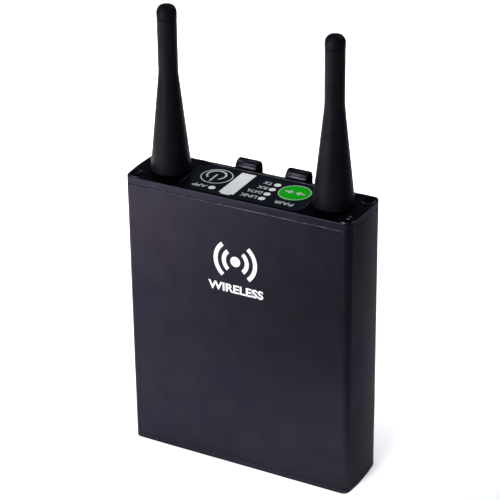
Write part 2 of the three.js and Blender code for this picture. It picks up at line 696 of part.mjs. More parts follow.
// A domed rivet through leaf and plate, its axis along +Y and its head at the end of the leaf's back face.
function clipRivet() {
  const leafBack = CLIP.bendY - CLIP.bend + CLIP.thick / 2;
  const foot = BACK + 0.1;
  const crown = leafBack + RIVET.proud;
  const profile = [[0, foot], [RIVET.radius, foot], [RIVET.radius, leafBack], [RIVET.head, leafBack]];
  profile.push([RIVET.head * 0.75, crown], [0, crown]);
  return turned(profile, 12).rotateX(-Math.PI / 2);
}

const clips = new THREE.Group();
unit.add(clips);
add(clips, "clip_plate", clipPlate(), FINISH.blackSteel);
for (const [i, name] of ["upper", "lower"].entries()) {
  const screw = add(clips, `clip_plate_screw_${name}`, countersunkScrew(CLIP_SCREW), FINISH.blackSteel);
  screw.position.set(0, BACK + CLIP_PLATE.thick - SCREW_BELOW, CLIP_SCREW_HEIGHTS[i]);
  screw.rotation.x = -Math.PI / 2;
}
for (const [side, name] of [[-1, "left"], [1, "right"]]) {
  const clip = new THREE.Group();
  clip.position.x = CLIP.middle + side * CLIP.x;
  clips.add(clip);
  add(clip, `clip_leaf_${name}`, clipLeaf(), FINISH.blackSteel);
  add(clip, `clip_tongue_${name}`, clipTongue(), FINISH.blackSteel);
  for (const [i, place] of ["upper", "lower"].entries()) {
    const rivet = add(clip, `clip_rivet_${name}_${place}`, clipRivet(), FINISH.blackSteel);
    rivet.position.z = RIVET.heights[i];
  }
}

export default unit;
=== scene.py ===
"""Looks of a belt-worn wireless transceiver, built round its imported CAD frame.

Meshes are made in millimetres, in the frame's own axes (+X right, +Y back, +Z up), and scaled to metres as
they become objects.
"""

import json
import math

import bmesh
import bpy
from mathutils import Matrix, Vector
from mathutils.geometry import tessellate_polygon


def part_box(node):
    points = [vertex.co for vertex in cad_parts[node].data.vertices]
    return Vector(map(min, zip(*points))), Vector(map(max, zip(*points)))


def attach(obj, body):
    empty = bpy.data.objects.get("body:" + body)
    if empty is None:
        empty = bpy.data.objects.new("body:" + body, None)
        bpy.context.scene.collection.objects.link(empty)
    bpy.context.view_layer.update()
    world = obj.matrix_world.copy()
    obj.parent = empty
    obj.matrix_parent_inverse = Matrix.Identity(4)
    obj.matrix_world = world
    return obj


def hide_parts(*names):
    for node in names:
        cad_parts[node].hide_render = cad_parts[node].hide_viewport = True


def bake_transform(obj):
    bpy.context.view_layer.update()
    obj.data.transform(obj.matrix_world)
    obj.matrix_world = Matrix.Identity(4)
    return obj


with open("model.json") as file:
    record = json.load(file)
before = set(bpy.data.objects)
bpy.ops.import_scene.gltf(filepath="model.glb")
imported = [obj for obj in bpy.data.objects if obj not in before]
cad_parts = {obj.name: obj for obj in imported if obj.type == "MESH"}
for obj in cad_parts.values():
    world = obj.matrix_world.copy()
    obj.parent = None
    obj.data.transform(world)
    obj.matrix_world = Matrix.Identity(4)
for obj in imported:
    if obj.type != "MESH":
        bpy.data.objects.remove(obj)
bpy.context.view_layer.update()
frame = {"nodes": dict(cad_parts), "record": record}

MM = 0.001
SCENE = bpy.context.scene


def box_mm(node):
    """The lowest and highest corners of a CAD node, in millimetres."""
    low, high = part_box(node)
    return low / MM, high / MM


# ------------------------------------------------------------------ sizes, in millimetres

SLEEVE_LOW, SLEEVE_HIGH = box_mm("housing_sleeve")
TOP_CAP_LOW, TOP_CAP_HIGH = box_mm("top_end_cap")
BOTTOM_CAP_LOW, BOTTOM_CAP_HIGH = box_mm("bottom_end_cap")
FILM_LOW, FILM_HIGH = box_mm("control_overlay")
TOP = TOP_CAP_HIGH.z
BACK = SLEEVE_HIGH.y

CASE_CROWN = 0.52
CASE_CORNER = 3.1
CASE_WALL = 1.8
CASE_HALF_WIDTH = SLEEVE_HIGH.x - CASE_CROWN
CASE_HALF_DEPTH = SLEEVE_HIGH.y
EDGE = 0.22  # rounding of the machined edges
SMALL_EDGE = 0.12
FINE_EDGE = 0.08
POCKET_EDGE = 0.18

SCREW_HEAD = 3.0
SCREW_SINK = 3.4
SCREW_HOLE = 1.6
PANEL_HALF_WIDTH = 28.0
PANEL_HALF_DEPTH = 12.4
PANEL_CORNER = 4.0
WELL_RADIUS = 7.25
PRINT = 0.03  # thickness of a printed mark
WELL_DEPTH = 2.0
STEM_HOLE = 2.3
JACK_HOLE = 3.4
SOCKET_HOLE = 11.5
PORT_GAP = 0.3
ANTENNA_SIDES = {"left": -1, "right": 1}

LIGHTS = ("tx", "rx", "data", "link", "app")


def centre_of(node):
    low, high = box_mm(node)
    return (low + high) / 2


# ------------------------------------------------------------------ camera, lights and floor

CAMERA = {
    "azimuth": 28.426, "elevation": 26.957, "roll": -0.685, "distance": 838.4,
    "aim": (0.0, 0.0, 69.0), "right": -0.706, "up": 24.609, "lens": 144.37,
}


def add_camera():
    azimuth = math.radians(CAMERA["azimuth"])
    elevation = math.radians(CAMERA["elevation"])
    roll = math.radians(CAMERA["roll"])
    level = math.cos(elevation)
    back = Vector((math.sin(azimuth) * level, -math.cos(azimuth) * level, math.sin(elevation)))
    right = Vector((math.cos(azimuth), math.sin(azimuth), 0))
    up = back.cross(right)
    aim = Vector(CAMERA["aim"]) + right * CAMERA["right"] + up * CAMERA["up"]
    place = aim + back * CAMERA["distance"]
    turned_right = right * math.cos(roll) + up * math.sin(roll)
    turned_up = up * math.cos(roll) - right * math.sin(roll)
    data = bpy.data.cameras.new("camera")
    data.lens = CAMERA["lens"]
    data.sensor_width = 36
    camera = bpy.data.objects.new("camera", data)
    turn = Matrix((turned_right, turned_up, back)).transposed()
    camera.matrix_world = Matrix.Translation(place * MM) @ turn.to_4x4()
    SCENE.collection.objects.link(camera)
    SCENE.camera = camera


def add_softbox(name, place, aim, size, power, spread):
    """A square soft light whose beam is spread over so many degrees."""
    data = bpy.data.lights.new(name, "AREA")
    data.shape = "SQUARE"
    data.size = size
    data.energy = power
    data.spread = math.radians(spread)
    light = bpy.data.objects.new(name, data)
    light.location = place
    light.rotation_euler = (Vector(aim) - Vector(place)).to_track_quat("-Z", "Y").to_euler()
    SCENE.collection.objects.link(light)


def add_stage():
    SCENE.view_settings.view_transform = "Standard"
    world = bpy.data.worlds.new("studio")
    world.use_nodes = True
    background = world.node_tree.nodes["Background"]
    background.inputs["Color"].default_value = (0.62, 0.74, 1.0, 1)
    background.inputs["Strength"].default_value = 0.13
    SCENE.world = world

    mesh = bpy.data.meshes.new("floor")
    half = 6.0
    corners = [(-half, -half, 0), (half, -half, 0), (half, half, 0), (-half, half, 0)]
    mesh.from_pydata(corners, [], [(0, 1, 2, 3)])
    floor = bpy.data.objects.new("floor", mesh)
    SCENE.collection.objects.link(floor)
    paint = bpy.data.materials.new("floor_paint")
    paint.use_nodes = True
    shader = paint.node_tree.nodes["Principled BSDF"]
    shader.inputs["Base Color"].default_value = (0.93, 0.93, 0.93, 1)
    shader.inputs["Roughness"].default_value = 0.9
    mesh.materials.append(paint)

    add_softbox("key", (-0.35, -1.0, 0.45), (0, 0, 0.09), 0.5, 5.0, 180)
    add_softbox("low_front", (-0.60, -1.25, 0.17), (0, 0, 0.10), 0.35, 5.0, 180)
    add_softbox("high_left", (-0.34, -0.36, 0.80), (0, 0, 0.1), 0.3, 1.2, 180)
    add_softbox("left_pool", (-0.35, -0.15, 0.35), (-0.30, -0.13, 0), 0.25, 0.68, 46)
    add_softbox("left_rear_pool", (-0.35, 0.10, 0.40), (-0.20, 0.12, 0), 0.2, 0.45, 60)
    add_softbox("rear_left_pool", (-0.34, 0.48, 0.70), (-0.28, 0.34, 0), 0.25, 1.5, 58)
    add_softbox("rear_pool", (0.15, 0.60, 0.60), (0, 0.38, 0), 0.25, 0.9, 80)
    add_softbox("front_pool", (-0.32, -0.37, 0.40), (-0.25, -0.29, 0), 0.2, 0.42, 40)
    add_softbox("base_left_pool", (-0.08, -0.16, 0.22), (-0.08, -0.045, 0), 0.08, 0.050, 40)
    add_softbox("base_right_pool", (0.03, -0.16, 0.22), (0.03, -0.045, 0), 0.08, 0.056, 40)
    add_softbox("side_pool", (0.22, 0.12, 0.25), (0.085, 0.08, 0), 0.1, 0.035, 40)
    add_softbox("rear_side_pool", (0.15, 0.30, 0.30), (0.09, 0.18, 0), 0.1, 0.028, 50)


# ------------------------------------------------------------------ mesh building

def arc(cx, cy, radius, start, stop, steps):
    """Points on an arc in the plane, both ends included, angles in degrees."""
    angles = [math.radians(start + (stop - start) * step / steps) for step in range(steps + 1)]
    return [(cx + radius * math.cos(angle), cy + radius * math.sin(angle)) for angle in angles]


def circle(cx, cy, radius, steps=48):
    return arc(cx, cy, radius, 0, 360, steps)[:-1]


def rounded_rectangle(x0, x1, y0, y1, radius, steps=10):
    points = []
    for cx, cy, start in (
        (x1 - radius, y0 + radius, -90),
        (x1 - radius, y1 - radius, 0),
        (x0 + radius, y1 - radius, 90),
        (x0 + radius, y0 + radius, 180),
    ):
        points += arc(cx, cy, radius, start, start + 90, steps)
    return points


def case_outline(inset):
    """The outline of sleeve and caps: flat front and back, rounded corners, crowned narrow sides."""
    corner_steps, crown_steps = 10, 20
    half_width = CASE_HALF_WIDTH - inset
    half_depth = CASE_HALF_DEPTH - inset
    radius = CASE_CORNER - inset
    points = []
    for sx, sy, start in ((1, -1, -90), (1, 1, 0), (-1, 1, 90), (-1, -1, 180)):
        cx, cy = sx * (half_width - radius), sy * (half_depth - radius)
        points += arc(cx, cy, radius, start, start + 90, corner_steps)
        if sx * sy < 0:
            for step in range(1, crown_steps):
                along = 2 * step / crown_steps - 1
                bulge = CASE_CROWN * (1 - along * along)
                points.append((sx * (half_width + bulge), sx * along * (half_depth - radius)))
    return points


def rounding(radius, steps=2, worn=1.0):
    """(inset, drop, edge) steps from a flat face over its rounded edge; edge is worn on the crest, else 0,
    and the lightened crest also stands as a painted highlight.
    """
    made = []
    for step in range(steps + 1):
        angle = math.radians(90 * step / steps)
        crest = worn if 0 < step < steps else 0.0
        made.append((radius * (1 - math.sin(angle)), radius * (1 - math.cos(angle)), crest))
    return made


class Skin:
    """A closed surface put together from level rings, the bands between them and flat faces with holes."""

    def __init__(self):
        self.bm = bmesh.new()
        self.edge = self.bm.verts.layers.float.new("edge")

    def ring(self, points, z, edge=0.0):
        verts = [self.bm.verts.new((x, y, z)) for x, y in points]
        for vert in verts:
            vert[self.edge] = edge
        return verts

    def band(self, one, other):
        if len(one) == 1 or len(other) == 1:
            pole, rim = (one[0], other) if len(one) == 1 else (other[0], one)
            for i, vert in enumerate(rim):
                self.bm.faces.new((pole, vert, rim[(i + 1) % len(rim)]))
            return
        count = len(one)
        for i in range(count):
            j = (i + 1) % count
            self.bm.faces.new((one[i], one[j], other[j], other[i]))

    def stack(self, outline, levels):
        """Rings of outline(inset) at each (inset, z, edge), joined in order; gives the first and the last."""
        rings = [self.ring(outline(inset), z, edge) for inset, z, edge in levels]
        for one, other in zip(rings, rings[1:]):
            self.band(one, other)
        return rings[0], rings[-1]

    def face(self, outer, holes=()):
        loops = [outer, *holes]
        verts = [vert for loop in loops for vert in loop]
        for triangle in tessellate_polygon([[vert.co for vert in loop] for loop in loops]):
            self.bm.faces.new([verts[i] for i in triangle])

    def turn(self, profile, steps=64, cx=0.0, cy=0.0):
        """A surface turned from (radius, z) or (radius, z, edge) points that start and end on the axis."""
        rings = []
        for point in profile:
            radius, z = point[:2]
            edge = point[2] if len(point) > 2 else 0.0
            rings.append(self.ring([(cx, cy)] if radius == 0 else circle(cx, cy, radius, steps), z, edge))
        for one, other in zip(rings, rings[1:]):
            self.band(one, other)


def add_piece(name, skin, material, body, replaces=(), place=None, smooth=13):
    """Turns a skin into an object that rides on a body, at its place in the frame."""
    bm = skin.bm
    if place is not None:
        bmesh.ops.transform(bm, matrix=place, verts=bm.verts)
    bmesh.ops.recalc_face_normals(bm, faces=bm.faces)
    bmesh.ops.scale(bm, vec=(MM, MM, MM), verts=bm.verts)
    mesh = bpy.data.meshes.new(name)
    bm.to_mesh(mesh)
    bm.free()
    mesh.shade_smooth()
    mesh.set_sharp_from_angle(angle=math.radians(smooth))
    mesh.materials.clear()
    mesh.materials.append(material)
    piece = bpy.data.objects.new(name, mesh)
    SCENE.collection.objects.link(piece)
    if body is not None:  # a piece that bends across a joint rides on no body here
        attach(piece, body)
    if replaces:
        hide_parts(*replaces)
    return piece


def top_edge(radius, top, worn=1.0):
    """Levels from a face at the top, over its rounded edge, to the wall below it."""
    return [(inset, top - drop, crest) for inset, drop, crest in rounding(radius, worn=worn)]


def bottom_edge(radius, bottom, steps=2, worn=1.0):
    """Levels from the wall, round its lower edge, to a face at the bottom."""
    return [(inset, bottom + drop, crest) for inset, drop, crest in reversed(rounding(radius, steps, worn))]


def hole_edge(radius, top):
    """The same for a hole in a top face, whose outline grows towards the face."""
    return [(-inset, z, crest) for inset, z, crest in top_edge(radius, top)]


def round_hole(cx, cy, radius, steps=48):
    """An outline function of inset for a round hole or boss."""
    return lambda inset: circle(cx, cy, radius - inset, steps)


# ------------------------------------------------------------------ materials

class Paint:
    """A node material with a Principled shader and object coordinates in metres."""

    def __init__(self, name, colour, metallic, roughness):
        self.material = bpy.data.materials.new(name)
        self.material.use_nodes = True
        self.tree = self.material.node_tree
        self.shader = self.tree.nodes["Principled BSDF"]
        self.shader.inputs["Base Color"].default_value = (*colour, 1)
        self.shader.inputs["Metallic"].default_value = metallic
        self.shader.inputs["Roughness"].default_value = roughness
        if metallic:
            self.shader.inputs["Specular Tint"].default_value = (0.5, 0.5, 0.5, 1)
        self.place = self.tree.nodes.new("ShaderNodeTexCoord").outputs["Object"]

    def link(self, output, target):
        self.tree.links.new(output, target)

    def noise(self, scale, detail):
        noise = self.tree.nodes.new("ShaderNodeTexNoise")
        noise.inputs["Scale"].default_value = scale
        noise.inputs["Detail"].default_value = detail
        self.link(self.place, noise.inputs["Vector"])
        return noise.outputs["Fac"]

    def cells(self, scale):
        cells = self.tree.nodes.new("ShaderNodeTexVoronoi")
        cells.inputs["Scale"].default_value = scale
        self.link(self.place, cells.inputs["Vector"])
        return cells.outputs["Distance"]

    def spread(self, value, low, high, start=0.3, stop=0.7):
        """value from start to stop, mapped to low to high."""
        node = self.tree.nodes.new("ShaderNodeMapRange")
        node.inputs["From Min"].default_value = start
        node.inputs["From Max"].default_value = stop
        node.inputs["To Min"].default_value = low
        node.inputs["To Max"].default_value = high
        self.link(value, node.inputs["Value"])
        return node.outputs["Result"]

    def times(self, one, other):
        node = self.tree.nodes.new("ShaderNodeMath")
        node.operation = "MULTIPLY"
        self.link(one, node.inputs[0])
        self.link(other, node.inputs[1])
        return node.outputs["Value"]

    def blend(self, factor, one, other):
        """A colour between two colours or colour outputs."""
        node = self.tree.nodes.new("ShaderNodeMix")
        node.data_type = "RGBA"
        self.link(factor, node.inputs[0])
        for socket, colour in ((node.inputs[6], one), (node.inputs[7], other)):
            if isinstance(colour, tuple):
                socket.default_value = (*colour, 1)
            else:
                self.link(colour, socket)
        return node.outputs[2]

    def colour(self, output):
        self.link(output, self.shader.inputs["Base Color"])

    def rough(self, output):
        self.link(output, self.shader.inputs["Roughness"])

    def bump(self, height, depth_mm):
        """Height from 0 to 1 stands depth_mm out of the surface."""
        node = self.tree.nodes.new("ShaderNodeBump")
        node.inputs["Distance"].default_value = depth_mm * MM
        node.inputs["Strength"].default_value = 1.0
        self.link(height, node.inputs["Height"])
        self.link(node.outputs["Normal"], self.shader.inputs["Normal"])

    def edge(self):
        """1 on the crest of a rounded edge, 0 elsewhere."""
        node = self.tree.nodes.new("ShaderNodeAttribute")
        node.attribute_name = "edge"
        return node.outputs["Fac"]


def anodised_paint(name, bluish, brownish):
    """Dark anodised metal whose dye drifts between two tints, with lighter metal on the crests of its rounded
    edges: partly worn bare metal, partly a painted highlight for the glints those edges catch.
    """
    roughness = 0.31
    paint = Paint(name, bluish, 1.0, roughness)
    drift = paint.blend(paint.spread(paint.noise(30, 3), 0, 1), bluish, brownish)
    clouds = paint.spread(paint.noise(75, 4), 0, 0.22)
    body = paint.blend(clouds, drift, (0.036, 0.034, 0.042))
    # The lightened crest is partly wear and partly a painted highlight along the seams and rims.
    worn = paint.times(paint.edge(), paint.spread(paint.noise(700, 5), 0.0, 0.9, 0.42, 0.62))
    paint.colour(paint.blend(worn, body, (0.13, 0.125, 0.14)))
    paint.rough(paint.spread(paint.noise(3200, 2), roughness - 0.05, roughness + 0.06))
    paint.bump(paint.noise(6500, 2), 0.012)
    return paint.material


def rubber_paint():
    dark, light = (0.0050, 0.0045, 0.0078), (0.0084, 0.0076, 0.0125)
    paint = Paint("antenna_rubber", dark, 0.0, 0.42)
    paint.colour(paint.blend(paint.spread(paint.noise(180, 5), 0, 1), dark, light))
    paint.shader.inputs["IOR"].default_value = 1.16
    paint.rough(paint.spread(paint.noise(900, 4), 0.34, 0.50))
    paint.bump(paint.noise(5200, 3), 0.02)
    return paint.material


def black_steel_paint():
    dark, light = (0.026, 0.026, 0.034), (0.040, 0.039, 0.050)
    paint = Paint("black_steel", dark, 1.0, 0.26)
    paint.shader.inputs["Specular Tint"].default_value = (0.2, 0.2, 0.22, 1)
    body = paint.blend(paint.spread(paint.noise(400, 4), 0, 1), dark, light)
    # Lightened steel on edge crests: partly wear, partly a painted highlight for the bright crescents on the
    # screw rims.
    worn = paint.times(paint.edge(), paint.spread(paint.noise(900, 4), 0.1, 1.0, 0.4, 0.6))
    paint.colour(paint.blend(worn, body, (0.34, 0.32, 0.31)))
    paint.rough(paint.spread(paint.noise(2600, 3), 0.20, 0.32))
    paint.bump(paint.noise(4200, 2), 0.006)
    return paint.material


def plastic_paint(name, dark, light, roughness, grain_mm):
    paint = Paint(name, dark, 0.0, roughness)
    paint.colour(paint.blend(paint.spread(paint.noise(350, 4), 0, 1), dark, light))
    paint.rough(paint.spread(paint.noise(1500, 3), roughness - 0.05, roughness + 0.06))
    paint.bump(paint.noise(4000, 2), grain_mm)
    return paint.material


def film_paint(name, dark, light):
    """Glossy printed polyester film, with the slight waviness of a bonded sheet."""
    roughness = 0.16
    paint = Paint(name, dark, 0.0, roughness)
    paint.colour(paint.blend(paint.spread(paint.noise(260, 3), 0, 1), dark, light))
    paint.rough(paint.spread(paint.noise(1100, 4), roughness - 0.04, roughness + 0.08))
    paint.bump(paint.noise(160, 2), 0.02)
    paint.shader.inputs["IOR"].default_value = 1.25
    return paint.material


def ink_paint(name, thin, full):
    """White ink that lets a little of the ground through where it is thin."""
    paint = Paint(name, full, 0.0, 0.45)
    worn = paint.spread(paint.noise(1400, 5), 0, 1, 0.28, 0.62)
    paint.colour(paint.blend(worn, thin, full))
    paint.rough(paint.spread(paint.noise(2500, 2), 0.38, 0.55))
    paint.bump(paint.noise(5000, 2), 0.006)
    return paint.material


def window_paint():
    """A white diffuser with a fine prismatic grid behind it, and a faint painted glow that brightens it
    though its indicators are off.
    """
    paint = Paint("white_diffuser", (0.74, 0.75, 0.73), 0.0, 0.32)
    grid = paint.spread(paint.cells(2600), 0, 1, 0.1, 0.6)
    paint.colour(paint.blend(grid, (0.86, 0.88, 0.85), (0.96, 0.97, 0.95)))
    paint.rough(paint.spread(paint.noise(1800, 3), 0.26, 0.4))
    paint.bump(grid, 0.01)
    # Painted light: a weak emission that lifts the white of an unlit window.
    paint.shader.inputs["Emission Color"].default_value = (0.92, 1.0, 0.93, 1)
    paint.shader.inputs["Emission Strength"].default_value = 0.14
    paint.shader.inputs["Subsurface Weight"].default_value = 0.15
    paint.shader.inputs["Subsurface Scale"].default_value = 0.6 * MM
    return paint.material


def metal_paint(name, dark, light, roughness):
    paint = Paint(name, dark, 1.0, roughness)
    paint.colour(paint.blend(paint.spread(paint.noise(500, 4), 0, 1), dark, light))
    paint.rough(paint.spread(paint.noise(2200, 3), roughness - 0.07, roughness + 0.08))
    paint.bump(paint.noise(3000, 2), 0.006)
    return paint.material


def board_paint():
    """Green solder mask with a maze of copper traces under it."""
    paint = Paint("circuit_board", (0.010, 0.10, 0.035), 0.0, 0.3)
    traces = paint.spread(paint.noise(420, 0), 0, 1, 0.49, 0.51)
    paint.colour(paint.blend(traces, (0.007, 0.075, 0.028), (0.016, 0.14, 0.045)))
    paint.rough(paint.spread(paint.noise(1500, 2), 0.24, 0.36))
    paint.bump(traces, 0.03)
    return paint.material


PAINTS = {
    "anodised_case": anodised_paint("anodised_sleeve", (0.0150, 0.0150, 0.0245), (0.0195, 0.0162, 0.0225)),
    "black_steel": black_steel_paint(),
    "antenna_rubber": rubber_paint(),
    "black_plastic": plastic_paint("black_plastic", (0.011, 0.011, 0.013), (0.018, 0.018, 0.021), 0.42, 0.02),
    "panel_film": film_paint("panel_film", (0.0022, 0.0028, 0.0055), (0.0032, 0.0038, 0.0070)),
    "green_key": film_paint("green_key", (0.003, 0.54, 0.002), (0.005, 0.62, 0.003)),
    "white_window": window_paint(),
    "gasket_rubber": plastic_paint("gasket_rubber", (0.006, 0.006, 0.007), (0.012, 0.012, 0.013), 0.7, 0.03),
    "gilt_brass": metal_paint("gilt_brass", (0.62, 0.42, 0.14), (0.74, 0.54, 0.22), 0.25),
    "circuit_board": board_paint(),
    "bright_steel": metal_paint("bright_steel", (0.42, 0.42, 0.43), (0.55, 0.55, 0.56), 0.3),
    "battery_wrap": plastic_paint("battery_wrap", (0.035, 0.09, 0.22), (0.05, 0.12, 0.28), 0.25, 0.02),
}
CAP_FINISH = anodised_paint("anodised_caps", (0.0160, 0.0168, 0.0265), (0.0190, 0.0178, 0.0270))
WHITE_INK = ink_paint("white_ink", (0.58, 0.59, 0.60), (0.78, 0.79, 0.80))
FRONT_INK = ink_paint("front_ink", (0.86, 0.87, 0.88), (0.95, 0.96, 0.97))


def paint_cad_nodes():
    """Gives every CAD node the procedural finish of its slot."""
    slots = {row["node"]: row["material_slot"] for row in frame["record"]["subparts"]}
    for name, node in frame["nodes"].items():
        node.data.materials.clear()
        node.data.materials.append(PAINTS[slots[name]])


def add(name, skin, slot, body="housing", replaces=(), place=None, smooth=13):
    return add_piece(name, skin, PAINTS[slot], body, replaces, place, smooth)


# ------------------------------------------------------------------ case

def build_sleeve():
    skin = Skin()
    low, high = SLEEVE_LOW.z, SLEEVE_HIGH.z
    # The sleeve's top edge is lightened in full: worn metal and a painted highlight for the bright seam line
    # under the cap.
    levels = [*top_edge(EDGE, high), *bottom_edge(SMALL_EDGE, low, worn=0.4)]
    outer_top, outer_bottom = skin.stack(case_outline, levels)
    inner_top, inner_bottom = skin.stack(case_outline, [(CASE_WALL, high, 0), (CASE_WALL, low, 0)])
    skin.band(outer_top, inner_top)
    skin.band(outer_bottom, inner_bottom)
    add("sleeve_shell", skin, "anodised_case", replaces=["housing_sleeve"])


def build_gaskets():
    for name in ("top_gasket", "bottom_gasket"):
        low, high = box_mm(name)
        inset = CASE_HALF_DEPTH - high.y
        skin = Skin()
        outer = skin.stack(case_outline, [(inset, high.z, 0), (inset, low.z, 0)])
        inner = skin.stack(case_outline, [(CASE_WALL, high.z, 0), (CASE_WALL, low.z, 0)])
        skin.band(outer[0], inner[0])
        skin.band(outer[1], inner[1])
        add(name + "_seal", skin, "gasket_rubber", replaces=[name])


def screw_places(end):
    return [(name, centre_of(name)) for name in frame["nodes"] if name.startswith(end + "_screw_")]


def sink_levels(face, outward, far):
    """Levels of a countersunk hole from its face, with a broken edge lightened as worn metal and as a painted
    highlight, to the far face.
    """
    deep = SCREW_SINK - SCREW_HOLE
    return [
        (-FINE_EDGE, face, 0),
        (0, face - outward * FINE_EDGE, 1),
        (FINE_EDGE, face - outward * 2 * FINE_EDGE, 0),
        (deep, face - outward * deep, 0),
        (deep, far, 0),
    ]


def gauge_outline(grow):
    """The battery window: a bar with a small nub at its front end."""
    low, high = box_mm("battery_window")
    nub_depth, left_shoulder, right_shoulder = 1.0, 1.25, 1.4
    front = low.y + nub_depth
    return [
        (low.x - grow, high.y + grow),
        (low.x - grow, front - grow),
        (low.x + left_shoulder - grow, front - grow),
        (low.x + left_shoulder - grow, low.y - grow),
        (high.x - right_shoulder + grow, low.y - grow),
        (high.x - right_shoulder + grow, front - grow),
        (high.x + grow, front - grow),
        (high.x + grow, high.y + grow),
    ]


def panel_outline(inset):
    return rounded_rectangle(
        inset - PANEL_HALF_WIDTH, PANEL_HALF_WIDTH - inset,
        inset - PANEL_HALF_DEPTH, PANEL_HALF_DEPTH - inset, PANEL_CORNER - inset,
    )


def window_outlines(clearance):
    """Outline functions of the openings for the indicator windows and the gauge."""
    outlines = []
    for name in LIGHTS:
        low, high = box_mm(name + "_light_window")
        centre = (low + high) / 2
        outlines.append(round_hole(centre.x, centre.y, (high.y - low.y) / 2 + clearance, 32))
    outlines.append(lambda inset: gauge_outline(clearance - inset))
    return outlines


def build_top_cap():
    skin = Skin()
    bottom, pocket_floor, well_floor = TOP_CAP_LOW.z, FILM_LOW.z, TOP - WELL_DEPTH
    levels = [*top_edge(EDGE, TOP, worn=0.0), *bottom_edge(EDGE, bottom, worn=0.5)]
    face, underside = skin.stack(case_outline, levels)
    holes, under_holes = [], []

    # The pocket's rim crest takes the lightened edge colour: worn metal and a painted highlight for the light
    # line along its edge.
    pocket = [*hole_edge(POCKET_EDGE, TOP), (0, pocket_floor, 0)]
    pocket_top, pocket_bottom = skin.stack(panel_outline, pocket)
    holes.append(pocket_top)
    for _, centre in screw_places("top"):
        upper, lower = skin.stack(round_hole(centre.x, centre.y, SCREW_SINK), sink_levels(TOP, 1, bottom))
        holes.append(upper)
        under_holes.append(lower)
    for side in ANTENNA_SIDES:
        centre = centre_of(f"antenna_jack_{side}")
        upper, lower = skin.stack(round_hole(centre.x, centre.y, JACK_HOLE), [(0, TOP, 0), (0, bottom, 0)])
        holes.append(upper)
        under_holes.append(lower)
    skin.face(face, holes)

    floor_holes = []
    for button in ("power_button", "pair_button"):
        centre = centre_of(button)
        levels = [(0, pocket_floor, 0), (0, well_floor, 0)]
        upper, lower = skin.stack(round_hole(centre.x, centre.y, WELL_RADIUS), levels)
        stem_top, stem_bottom = skin.stack(
            round_hole(centre.x, centre.y, STEM_HOLE, 24), [(0, well_floor, 0), (0, bottom, 0)]
        )
        skin.face(lower, [stem_top])
        floor_holes.append(upper)
        under_holes.append(stem_bottom)
    for outline in window_outlines(0.12):
        upper, lower = skin.stack(outline, [(0, pocket_floor, 0), (0, bottom, 0)])
        floor_holes.append(upper)
        under_holes.append(lower)
    skin.face(pocket_bottom, floor_holes)
    skin.face(underside, under_holes)
    add_piece("top_cap_plate", skin, CAP_FINISH, "housing", ["top_end_cap"])


def slot_outline(x0, x1, y0, y1, radius):
    return lambda inset: rounded_rectangle(x0 + inset, x1 - inset, y0 + inset, y1 - inset, radius - inset, 6)


def build_bottom_cap():
    skin = Skin()
    inside, outside = BOTTOM_CAP_HIGH.z, BOTTOM_CAP_LOW.z
    levels = [*top_edge(SMALL_EDGE, inside, worn=0.0), *bottom_edge(EDGE, outside, worn=0.0)]
    face, underside = skin.stack(case_outline, levels)
    holes, under_holes = [], []
    for _, centre in screw_places("bottom"):
        outline = round_hole(centre.x, centre.y, SCREW_SINK)
        lower, upper = skin.stack(outline, sink_levels(outside, -1, inside))
        holes.append(upper)
        under_holes.append(lower)
    socket = centre_of("data_connector_shell")
    port_low, port_high = box_mm("charge_port")
    for outline in (
        round_hole(socket.x, socket.y, SOCKET_HOLE, 72),
        slot_outline(port_low.x - PORT_GAP, port_high.x + PORT_GAP,
                     port_low.y - PORT_GAP, port_high.y + PORT_GAP, 1.1),
    ):
        levels = [(0, inside, 0), (0, outside + 0.15, 0), (-0.15, outside, 0)]
        upper, lower = skin.stack(outline, levels)
        holes.append(upper)
        under_holes.append(lower)
    skin.face(face, holes)
    skin.face(underside, under_holes)
    add_piece("bottom_cap_plate", skin, CAP_FINISH, "housing", ["bottom_end_cap"])


def countersunk_screw(head, shank, length, socket, socket_depth):
    """A screw with its head's face at height 0 and its shank pointing down, with a hexagon socket."""
    skin = Skin()
    steps = 48
    bevel, inset = 0.3, 0.05  # of the head's edge
    under_head = -(head - shank) - 0.25
    # The rim's crest and side carry the lightened edge colour, a painted highlight for the crescents the
    # head's rim shows.
    rim = skin.ring(circle(0, 0, head - inset - bevel - 0.03, steps), 0)
    crest = skin.ring(circle(0, 0, head - inset - bevel, steps), -0.02, 1)
    side = skin.ring(circle(0, 0, head - inset, steps), -bevel, 1)
    under = skin.ring(circle(0, 0, shank, steps), under_head)
    foot = skin.ring(circle(0, 0, shank, steps), -length + 0.3)
    tip = skin.ring(circle(0, 0, shank - 0.3, steps), -length)
    for one, other in zip((rim, crest, side, under, foot), (crest, side, under, foot, tip)):
        skin.band(one, other)
    skin.face(tip)
    mouth = skin.ring(circle(0, 0, socket + 0.12, 6), 0)
    throat = skin.ring(circle(0, 0, socket, 6), -0.12, 1)
    base = skin.ring(circle(0, 0, socket, 6), -socket_depth)
    skin.band(mouth, throat)
    skin.band(throat, base)
    skin.band(base, skin.ring([(0, 0)], -socket_depth - 0.35))
    skin.face(rim, [mouth])
    return skin


